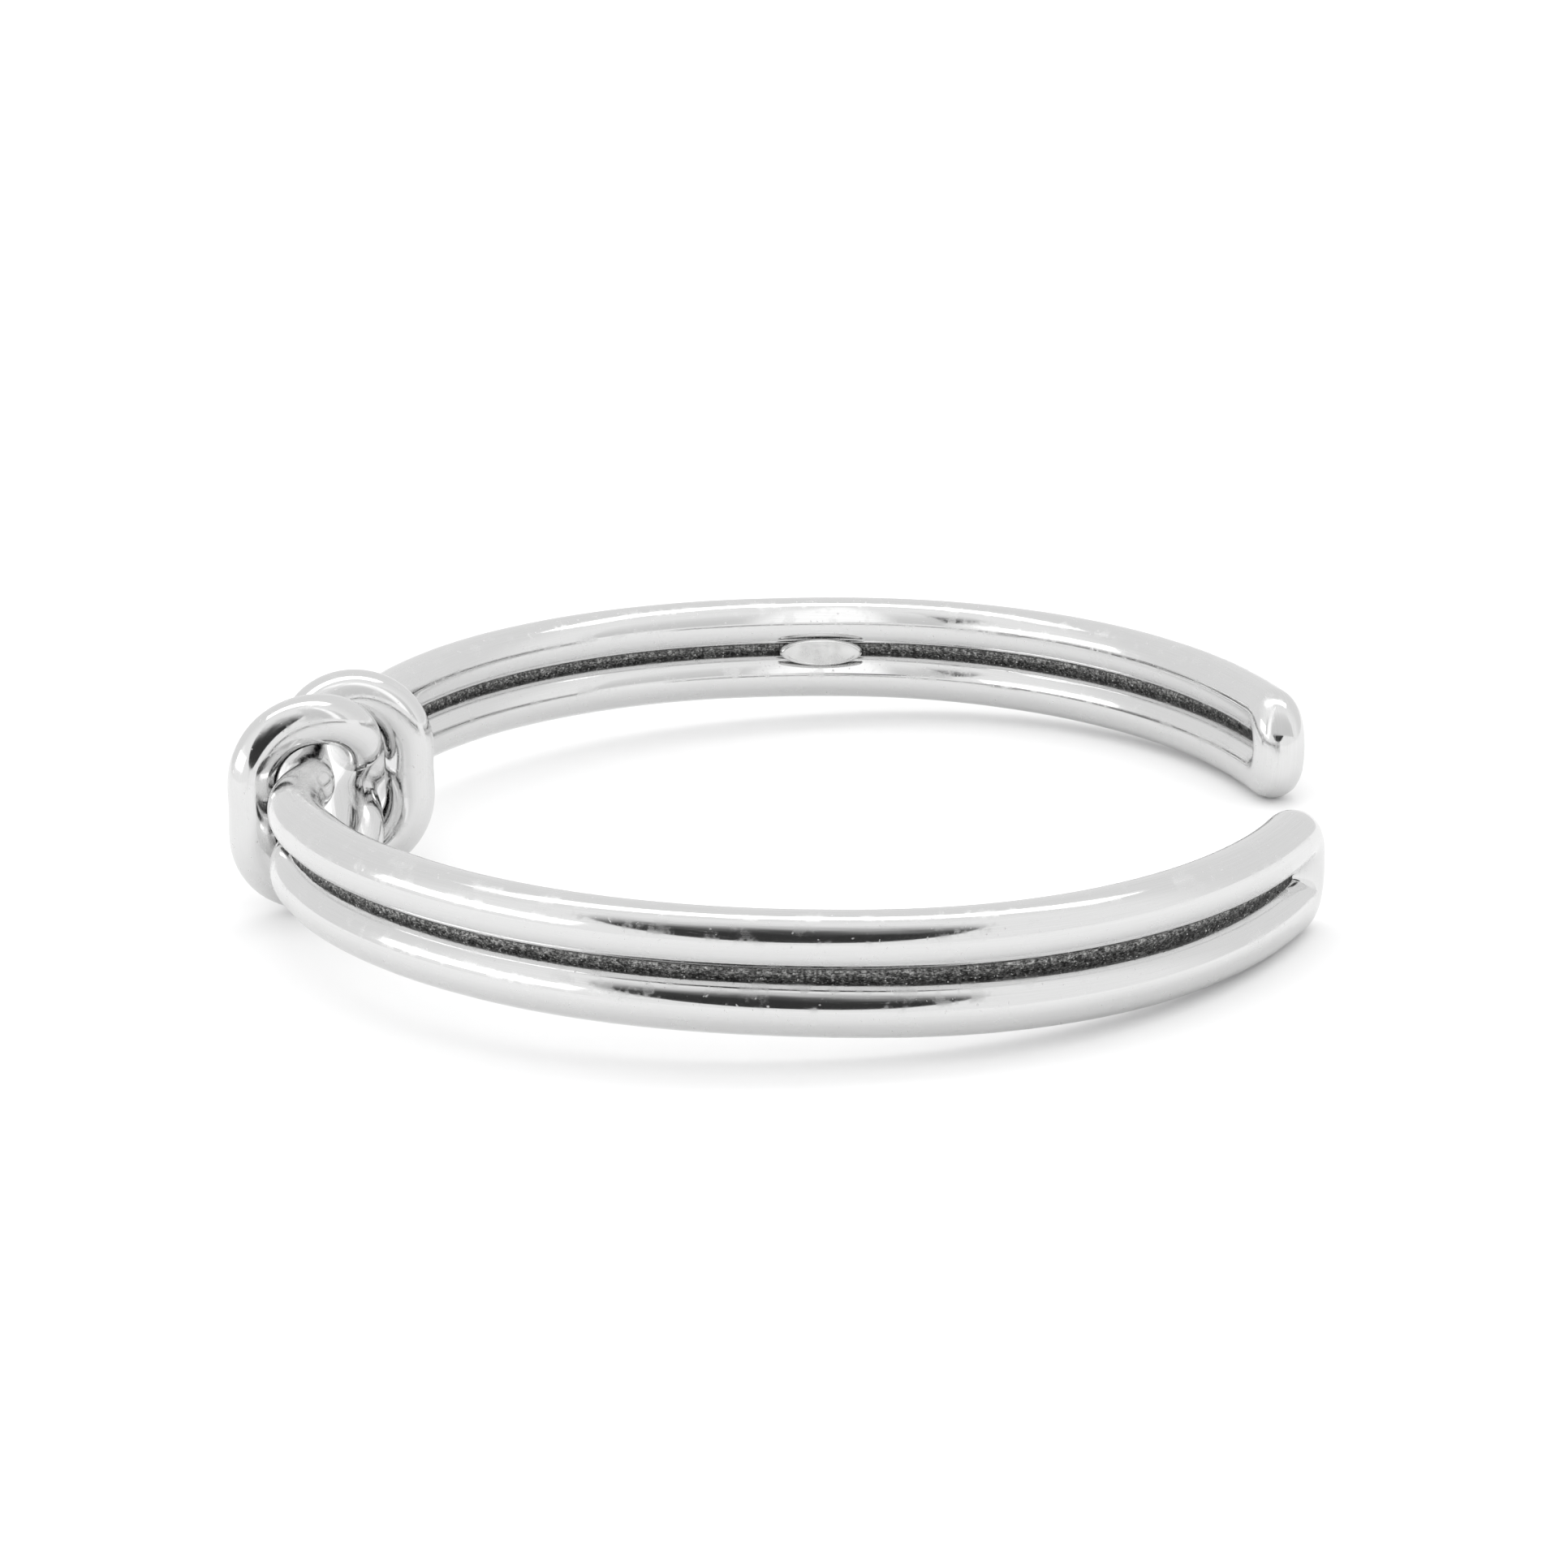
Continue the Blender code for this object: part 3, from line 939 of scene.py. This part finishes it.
@dataclass
class WireLink:
    """One long closed link of round wire: two level runs, a turn at the tip and a bend in the knot."""

    name: str
    body: str
    side: Side
    tip_y: float
    plan: CuffPlan = field(default_factory=CuffPlan)
    bulge: Bulge = field(default_factory=Bulge)
    bend: KnotBend = field(default_factory=KnotBend)
    diameter: float = 2.64 * MM
    knot_radius: float = 1.235 * MM
    taper_start: float = 3.96 * MM
    taper_end: float = 9.24 * MM
    run_rise: float = 1.45 * MM
    drop: float = 0.06 * MM
    tip_drop: float = 0.12 * MM
    drop_near_knot: float = 12.0 * MM
    drop_start: float = 36.0 * MM
    drop_end: float = 60.0 * MM
    tip_reach: float = 1.20 * MM
    tip_power: float = 2.25
    tip_steps: int = 72
    step: float = 0.3 * MM
    softening: float = 0.45 * MM
    sides: int = 56
    unevenness: float = 0.035 * MM
    unevenness_scale: float = 170.0

    def __post_init__(self) -> None:
        """Measures the link's arm."""
        self.arm = Arm(self.plan, self.side, self.tip_y, self.tip_reach + self.diameter / 2, self.bulge)

    def radius_at(self, length: float) -> float:
        """The wire's radius, a little less through the knot than along the arm."""
        share = min(max((length - self.taper_start) / (self.taper_end - self.taper_start), 0), 1)
        return self.knot_radius + (self.diameter / 2 - self.knot_radius) * share * share * (3 - 2 * share)

    def drop_at(self, length: float) -> float:
        """How much further down the lower run lies than it would on the CAD solid."""
        share = min(max((length - self.drop_start) / (self.drop_end - self.drop_start), 0), 1)
        near = min(max(length / self.drop_near_knot, 0), 1)
        return self.drop * near + self.tip_drop * share * share * (3 - 2 * share)

    def centreline(self) -> np.ndarray:
        """Closed centreline of the link.

        Returns:
            Evenly spaced rows of x, y, z and radius, starting at the upper run.
        """
        arm, rise = self.arm, self.run_rise
        half = self.bend.curve(self.diameter, self.side)
        straight = np.arange(half[-1, 0], arm.bend_centre, self.plan.step)
        rows = [(*arm.place(length, 0, rise), self.radius_at(length)) for length in straight]
        for i in range(self.tip_steps + 1):
            turn = math.pi * i / self.tip_steps
            length = arm.bend_centre + self.tip_reach * abs(math.sin(turn)) ** (2 / self.tip_power)
            height = rise * math.copysign(abs(math.cos(turn)) ** (2 / self.tip_power), math.cos(turn))
            height -= self.drop_at(length) * (1 - math.cos(turn)) / 2
            rows.append((*arm.place(length, 0, height), self.diameter / 2))
        rows += [
            (
                *arm.place(length, 0, -rise - self.drop_at(length)),
                self.radius_at(length),
            ) for length in straight[::-1]
        ]
        for length, out, height in half[-2:0:-1]:
            rows.append((*arm.place(length, out, -height), self.radius_at(length)))
        for length, out, height in half[:-1]:
            rows.append((*arm.place(length, out, height), self.radius_at(length)))
        even = evened(np.array(rows), self.step, closed=True)
        return softened(even, self.softening, self.step, closed=True)

    def path_mesh(self) -> bpy.types.Mesh:
        """The centreline as a closed ring of edges that carries the wire's radius and place."""
        rows = self.centreline()
        count = len(rows)
        mesh = bpy.data.meshes.new(f"{self.name}_path")
        mesh.from_pydata([tuple(row[:3]) for row in rows], [(i, (i + 1) % count) for i in range(count)], [])
        mesh.attributes.new(WIRE_RADIUS, "FLOAT", "POINT").data.foreach_set("value", rows[:, 3])
        turns = 2 * math.pi * np.arange(count) / count
        reach = count * self.step / (2 * math.pi)
        loop = np.column_stack((reach * np.cos(turns), reach * np.sin(turns), 0 * turns))
        mesh.attributes.new(LOOP_PLACE, "FLOAT_VECTOR", "POINT").data.foreach_set("vector", loop.ravel())
        return mesh

    def build(self, tree: bpy.types.NodeTree, finish: bpy.types.Material) -> bpy.types.Object:
        """Makes the link's wire.

        Args:
            tree: The round wire tree.
            finish: The wire's material.

        Returns:
            The finished piece.
        """
        sizes = {
            "Sides": self.sides,
            "Unevenness": self.unevenness,
            "Unevenness Scale": self.unevenness_scale,
            "Finish": finish,
        }
        return grown(tree, self.path_mesh(), f"{self.name}_wire", sizes)

    def dress(self, piece: bpy.types.Object) -> None:
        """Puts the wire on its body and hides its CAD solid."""
        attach(piece, self.body)
        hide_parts(self.name)


@dataclass
class GrooveWeb:
    """The rough strip of cast metal in a link's groove."""

    name: str
    link: WireLink
    start: float = 5.148 * MM
    tip_margin: float = -0.12 * MM
    half_depth: float = 0.50 * MM
    half_height: float = 0.46 * MM
    tip_depth: float = 0.30
    tip_taper: float = 11.0 * MM
    face_steps: int = 10
    step: float = 0.11 * MM
    roughness: float = 0.10 * MM
    grain_density: float = 3.0e6
    grain_radius: float = 0.065 * MM
    seed: int = 11

    def section(self) -> list[tuple[float, float]]:
        """Out and height round the strip, with fine steps on its two open faces."""
        heights = np.linspace(-self.half_height, self.half_height, self.face_steps + 1)
        crown = self.half_depth * (1 - 0.10 * (heights / self.half_height) ** 2)
        outer = [(float(out), float(height)) for out, height in zip(crown, heights)]
        return outer + [(-out, -height) for out, height in outer]

    def strip(self) -> bpy.types.Mesh:
        """The plain strip, closed at both ends, that the cast skin grows on."""
        arm = self.link.arm
        half = self.link.bend.curve(self.link.diameter, self.link.side)
        half = half[half[:, 0] > 0.5 * MM]
        end = arm.bend_centre - self.tip_margin
        lengths = np.linspace(self.start, end, round((end - self.start) / self.step) + 1)
        section = self.section()
        count = len(section)
        points = []
        for length in lengths:
            shift = float(np.interp(length, half[:, 0], half[:, 1]))
            fade = min(1.0, self.tip_depth + (1 - self.tip_depth) * (end - length) / self.tip_taper)
            opening = min(1.0, 0.5 + 0.5 * (length - self.start) / (7 * MM))
            sag = self.link.drop_at(length)
            for out, height in section:
                lowered = height - sag * (0.5 - 0.5 * height / self.half_height)
                points.append(arm.place(length, shift + out * fade * opening, lowered))
        faces = []
        for ring in range(len(lengths) - 1):
            for side in range(count):
                beside = (side + 1) % count
                faces.append(
                    (
                        ring * count + side,
                        ring * count + beside,
                        (ring + 1) * count + beside,
                        (ring + 1) * count + side,
                    )
                )
        last = (len(lengths) - 1) * count
        for i in range(count // 2 - 1):
            low, high, far_high, far_low = i, i + 1, count - 2 - i, count - 1 - i
            faces.append((high, low, far_low, far_high))
            faces.append((last + low, last + high, last + far_high, last + far_low))
        mesh = bpy.data.meshes.new(f"{self.name}_strip")
        mesh.from_pydata([tuple(point) for point in points], [], faces)
        turn_outwards(mesh)
        return mesh

    def build(self, tree: bpy.types.NodeTree, finish: bpy.types.Material) -> bpy.types.Object:
        """Makes the cast strip.

        Args:
            tree: The cast skin tree.
            finish: The strip's material.

        Returns:
            The finished piece.
        """
        sizes = {
            "Roughness": self.roughness,
            "Grain Density": self.grain_density,
            "Grain Radius": self.grain_radius,
            "Seed": self.seed,
            "Finish": finish,
        }
        return grown(tree, self.strip(), f"{self.name}_cast", sizes)

    def dress(self, piece: bpy.types.Object) -> None:
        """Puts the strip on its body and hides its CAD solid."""
        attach(piece, self.link.body)
        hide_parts(self.name)


@dataclass
class OvalPlate:
    """Small blank oval plate with a raised border, across the groove on the back arm's inner face."""

    name: str
    link: WireLink
    length: float = 4.6 * MM
    height: float = 1.5 * MM
    thickness: float = 0.42 * MM
    face_depth: float = 1.20 * MM
    from_apex: float = -0.7 * MM
    sides: int = 96
    profile: tuple[tuple[float, float], ...] = (
        (0.30, 0.95),
        (0.60, 0.93),
        (0.76, 0.90),
        (0.81, 0.90),
        (0.85, 0.95),
        (0.89, 0.95),
        (0.93, 0.88),
        (0.96, 0.76),
        (0.99, 0.52),
        (1.00, 0.30),
        (1.00, 0.0),
        (0.60, 0.0),
    )

    def build(self, finish: bpy.types.Material) -> bpy.types.Object:
        """Makes the plate.

        Args:
            finish: The plate's material.

        Returns:
            The finished piece.
        """
        arm = self.link.arm
        middle = arm.apex_length + self.from_apex
        along, outward, centre = arm.tangent(middle), arm.outward(middle), arm.at(middle)

        def point(share: float, rise: float, angle: float) -> tuple[float, ...]:
            """Point at a share of the oval's size, a share of its thickness and an angle."""
            x, y = centre - outward * (self.face_depth + self.thickness * rise)
            x, y = (x, y) + along * (share * self.length / 2 * math.cos(angle))
            return tuple(np.array((x, y, share * self.height / 2 * math.sin(angle))) + arm.plan.centre)

        angles = [2 * math.pi * i / self.sides for i in range(self.sides)]
        points = [point(share, rise, angle) for share, rise in self.profile for angle in angles]
        points += [point(0, self.profile[0][1], 0), point(0, 0, 0)]
        faces = []
        rings = len(self.profile)
        for i in range(self.sides):
            j = (i + 1) % self.sides
            for ring in range(rings - 1):
                low, high = ring * self.sides, (ring + 1) * self.sides
                faces.append((low + i, low + j, high + j, high + i))
            faces.append((j, i, len(points) - 2))
            last = (rings - 1) * self.sides
            faces.append((last + i, last + j, len(points) - 1))
        mesh = bpy.data.meshes.new(f"{self.name}_domed")
        mesh.from_pydata(points, [], faces)
        turn_outwards(mesh)
        mesh.shade_smooth()
        mesh.materials.append(finish)
        return add_object(mesh)

    def dress(self, piece: bpy.types.Object) -> None:
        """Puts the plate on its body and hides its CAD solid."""
        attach(piece, self.link.body)
        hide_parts(self.name)


# ---------------------------------------------------------------------------
# The studio
# ---------------------------------------------------------------------------


def direction(azimuth: float, elevation: float) -> Vector:
    """Direction from the object, with azimuth 0 towards the front and positive to the right.

    Args:
        azimuth: Degrees to the right of the front.
        elevation: Degrees above the horizon.

    Returns:
        The unit vector.
    """
    turn, lift = math.radians(azimuth), math.radians(elevation)
    return Vector((math.sin(turn) * math.cos(lift), -math.cos(turn) * math.cos(lift), math.sin(lift)))


@dataclass(frozen=True)
class Softbox:
    """A large soft light that faces the object."""

    name: str
    azimuth: float
    elevation: float
    width: float
    depth: float
    distance: float = 0.60
    brightness: float = 1.35

    def build(self, centre: Vector) -> None:
        """Hangs the light.

        Args:
            centre: The point that it faces.
        """
        lamp = bpy.data.lights.new(self.name, "AREA")
        lamp.shape = "RECTANGLE"
        lamp.size, lamp.size_y = self.width, self.depth
        lamp.energy = self.brightness * math.pi * self.width * self.depth
        holder = bpy.data.objects.new(self.name, lamp)
        holder.location = centre + direction(self.azimuth, self.elevation) * self.distance
        holder.rotation_mode = "QUATERNION"
        holder.rotation_quaternion = direction(self.azimuth, self.elevation).to_track_quat("Z", "Y")
        holder.visible_camera = False
        bpy.context.scene.collection.objects.link(holder)


def add_card(
    name: str, points: list[Vector], glow: Any, tree: bpy.types.NodeTree, material: bpy.types.Material
) -> None:
    """Hangs a card that only the metal's reflections show.

    Args:
        name: The card's name.
        points: Its outline.
        glow: The output of its shader.
        tree: Its material's tree.
        material: Its material.
    """
    mesh = bpy.data.meshes.new(name)
    mesh.from_pydata(points, [], [tuple(range(len(points)))])
    tree.links.new(glow, tree.nodes["Material Output"].inputs["Surface"])
    mesh.materials.append(material)
    card = add_object(mesh)
    card.visible_camera = False
    card.visible_diffuse = False
    card.visible_shadow = False
    card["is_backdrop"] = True


@dataclass(frozen=True)
class ReflectedCard:
    """A dark oval card in front of the object, paler towards its top."""

    name: str
    azimuth: float
    elevation: float
    half_width: float
    half_height: float
    distance: float = 0.45
    dark: float = 0.035
    pale: float = 1.0
    dark_below: float = -0.55
    pale_above: float = 0.75
    rise_power: float = 1.4
    cloth_scale: float = 9.0
    cloth_share: float = 0.5
    sides: int = 96

    def build(self, centre: Vector) -> None:
        """Hangs the card.

        Args:
            centre: The point that it faces.
        """
        towards = direction(self.azimuth, self.elevation)
        middle = centre + towards * self.distance
        across = Vector((0, 0, 1)).cross(towards).normalized()
        upwards = towards.cross(across)
        points = []
        for i in range(self.sides):
            angle = 2 * math.pi * i / self.sides
            aside, above = self.half_width * math.cos(angle), self.half_height * math.sin(angle)
            points.append(middle + across * aside + upwards * above)
        material, tree, shader = new_material(self.name)
        tree.nodes.remove(shader)
        place = add_node(tree, "ShaderNodeTexCoord").outputs["Object"]
        from_middle = add_vector_math(tree, "SUBTRACT", place, tuple(middle))
        axis = tuple(upwards / self.half_height)
        height = add_node(
            tree, "ShaderNodeVectorMath", {0: from_middle, 1: axis}, operation="DOT_PRODUCT"
        ).outputs["Value"]
        cloth = add_math(tree, "SUBTRACT", add_noise(tree, place, self.cloth_scale, 3.0, 0.5), 0.5)
        uneven = add_math(tree, "ADD", height, add_math(tree, "MULTIPLY", cloth, self.cloth_share))
        rise = add_ramp(tree, uneven, self.dark_below, self.pale_above)
        tone = add_ramp(
            tree, add_math(tree, "POWER", rise, self.rise_power), 0.0, 1.0, self.dark, self.pale
        )
        glow = add_node(tree, "ShaderNodeEmission", {"Strength": tone})
        add_card(self.name, points, glow.outputs[0], tree, material)


@dataclass(frozen=True)
class RearScreen:
    """Pale screen that only the back arm's inner face mirrors, with one brighter upright band."""

    name: str = "pale_screen"
    left: float = -17 * MM
    right: float = 60 * MM
    bottom: float = 12 * MM
    top: float = 320 * MM
    from_middle: float = -10 * MM
    band_middle: float = 3.2 * MM
    band_half_width: float = 6.5 * MM
    band_softness: float = 3.0 * MM
    low_tone: float = 0.72
    high_tone: float = 0.98
    tone_rise: float = 60 * MM
    band_tone: float = 1.3

    def build(self, centre: Vector) -> None:
        """Hangs the screen, which is clear from the front.

        Args:
            centre: The middle of the object.
        """
        y = centre.y + self.from_middle
        corners = (
            (self.left, self.bottom),
            (self.left, self.top),
            (self.right, self.top),
            (self.right, self.bottom),
        )
        points = [Vector((x, y, z)) for x, z in corners]
        material, tree, shader = new_material(self.name)
        tree.nodes.remove(shader)
        place = add_node(tree, "ShaderNodeTexCoord").outputs["Object"]
        parts = add_node(tree, "ShaderNodeSeparateXYZ", {0: place}).outputs
        grey = add_ramp(
            tree, parts[2], self.bottom, self.bottom + self.tone_rise, self.low_tone, self.high_tone
        )
        aside = add_math(tree, "ABSOLUTE", add_math(tree, "SUBTRACT", parts[0], self.band_middle))
        inner, outer = self.band_half_width - self.band_softness, self.band_half_width + self.band_softness
        band = add_ramp(tree, aside, inner, outer, 1.0, 0.0)
        tone = add_node(
            tree, "ShaderNodeMix", {0: band, 2: grey, 3: self.band_tone}, data_type="FLOAT"
        ).outputs[0]
        glow = add_node(tree, "ShaderNodeEmission", {"Strength": tone}).outputs[0]
        clear = add_node(tree, "ShaderNodeBsdfTransparent").outputs[0]
        behind = add_node(tree, "ShaderNodeNewGeometry").outputs["Backfacing"]
        one_sided = add_node(tree, "ShaderNodeMixShader", {0: behind, 1: glow, 2: clear}).outputs[0]
        add_card(self.name, points, one_sided, tree, material)


@dataclass
class Studio:
    """Pale floor, even white surroundings, soft lights, two cards and the camera."""

    floor_size: float = 6.0
    floor_pale: tuple[float, float, float] = (0.93, 0.93, 0.93)
    floor_paler: tuple[float, float, float] = (0.96, 0.96, 0.96)
    floor_share_mirrored: float = 0.86
    floor_patch_scale: float = 30.0
    floor_roughness: float = 0.9
    fill: float = 1.20
    front_tone: float = 1.0
    rear_tone: float = 0.86
    camera_distance: float = 205 * MM
    camera_elevation: float = 16.1
    lens: float = 95.5
    sensor_width: float = 36.0
    clip_start: float = 10 * MM
    aim: tuple[float, float, float] = (0.174 * MM, 0.007 * MM, 0.185 * MM)
    lights: tuple[Softbox, ...] = (
        Softbox("overhead_softbox", azimuth=180.0, elevation=76.0, width=0.80, depth=0.16),
        Softbox("left_softbox", azimuth=-72.0, elevation=15.0, width=0.50, depth=0.16),
    )
    cards: tuple[ReflectedCard, ...] = (
        ReflectedCard("front_dark_card", azimuth=-8.0, elevation=46.5, half_width=0.287, half_height=0.374),
    )
    screen: RearScreen = field(default_factory=RearScreen)

    def build(self, pieces: list[bpy.types.Object]) -> None:
        """Makes the floor, the surroundings, the lights, the cards and the camera.

        Args:
            pieces: The finished pieces, which rest on the floor.
        """
        low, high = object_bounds()
        centre = (low + high) / 2
        self.add_floor(pieces)
        self.add_surroundings()
        for part in (*self.lights, *self.cards, self.screen):
            part.build(centre)
        self.add_camera(centre + Vector(self.aim))
        bpy.context.scene.view_settings.view_transform = "Standard"

    def add_surroundings(self) -> None:
        """Sets even white light all round, a little greyer to the rear where the metal mirrors it."""
        world = bpy.data.worlds.new("white_surroundings")
        world.use_nodes = True
        tree = world.node_tree
        towards = add_node(tree, "ShaderNodeTexCoord").outputs["Generated"]
        depth = add_node(tree, "ShaderNodeSeparateXYZ", {0: towards}).outputs[1]
        mirrored = add_ramp(tree, depth, -0.2, 0.35, self.front_tone, self.rear_tone)
        in_metal = add_node(tree, "ShaderNodeLightPath").outputs["Is Glossy Ray"]
        inputs = {0: in_metal, 2: self.fill, 3: mirrored}
        strength = add_node(tree, "ShaderNodeMix", inputs, data_type="FLOAT").outputs[0]
        tree.nodes["Background"].inputs["Color"].default_value = (1, 1, 1, 1)
        tree.links.new(strength, tree.nodes["Background"].inputs["Strength"])
        bpy.context.scene.world = world

    def add_floor(self, pieces: list[bpy.types.Object]) -> None:
        """Lays the pale floor under the knot and the tips, on which the cuff really rests.

        Args:
            pieces: The finished pieces.
        """
        points = np.array([tuple(vertex.co) for piece in pieces for vertex in piece.data.vertices])
        lowest = points[np.argmin(points[:, 2])]
        beyond = points[points[:, 0] > 0]
        slope = float(np.min((beyond[:, 2] - lowest[2]) / (beyond[:, 0] - lowest[0])))
        half = self.floor_size / 2
        corners = ((-half, -half), (half, -half), (half, half), (-half, half))
        mesh = bpy.data.meshes.new("floor")
        points = [(x, y, lowest[2] + slope * (x - lowest[0])) for x, y in corners]
        mesh.from_pydata(points, [], [(0, 1, 2, 3)])
        material, tree, shader = new_material("pale_floor")
        place = add_node(tree, "ShaderNodeTexCoord").outputs["Object"]
        tone = add_ramp(tree, add_noise(tree, place, self.floor_patch_scale, 3.0), 0.3, 0.7)
        pale = tint(tree, tone, self.floor_pale, self.floor_paler)
        mirrored = add_node(tree, "ShaderNodeLightPath").outputs["Is Glossy Ray"]
        share = add_ramp(tree, mirrored, 0.0, 1.0, 1.0, self.floor_share_mirrored)
        tree.links.new(add_vector_math(tree, "MULTIPLY", pale, share), shader.inputs["Base Color"])
        shader.inputs["Roughness"].default_value = self.floor_roughness
        shader.inputs["Specular IOR Level"].default_value = 0.0
        mesh.materials.append(material)
        add_object(mesh)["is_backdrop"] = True

    def add_camera(self, target: Vector) -> None:
        """Sets the camera.

        Args:
            target: The point that it looks at.
        """
        camera = bpy.data.objects.new("camera", bpy.data.cameras.new("camera"))
        camera.data.lens = self.lens
        camera.data.sensor_width = self.sensor_width
        camera.data.clip_start = self.clip_start
        back = direction(0.0, self.camera_elevation)
        camera.location = target + back * self.camera_distance
        camera.rotation_mode = "QUATERNION"
        camera.rotation_quaternion = back.to_track_quat("Z", "Y")
        bpy.context.scene.collection.objects.link(camera)
        bpy.context.scene.camera = camera


def report(piece: bpy.types.Object, body: str) -> None:
    """Logs a finished piece with its face count and body."""
    LOG.info("%s: %d faces on body %s", piece.name, len(piece.data.polygons), body)


def main() -> None:
    """Builds the bracelet and the studio around the frame."""
    logging.basicConfig(level=logging.INFO, format="%(message)s")
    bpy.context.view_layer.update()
    effects = SharedEffects.built()
    wire, cast = wire_tree(), cast_tree()
    back = WireLink("back_link", "back", Side.BACK, tip_y=6.1 * MM)
    front = WireLink(
        "front_link", "front", Side.FRONT, tip_y=11.2 * MM, bulge=Bulge(depth=1.5 * MM), tip_drop=0.25 * MM
    )
    webs = (GrooveWeb("back_web", back, seed=11), GrooveWeb("front_web", front, seed=23))
    pieces = []
    for link in (back, front):
        pieces.append(link.build(wire, PolishedSilver().material(f"{link.name}_silver", effects)))
        link.dress(pieces[-1])
        report(pieces[-1], link.body)
    for web in webs:
        pieces.append(web.build(cast, CastSilver().material(f"{web.name}_cast_silver", effects)))
        web.dress(pieces[-1])
        report(pieces[-1], web.link.body)
    plate = OvalPlate("oval_plate", back)
    pieces.append(plate.build(SatinSilver().material("oval_plate_satin_silver", effects)))
    plate.dress(pieces[-1])
    report(pieces[-1], back.body)
    Studio().build(pieces)


if __name__ == "__main__":
    main()
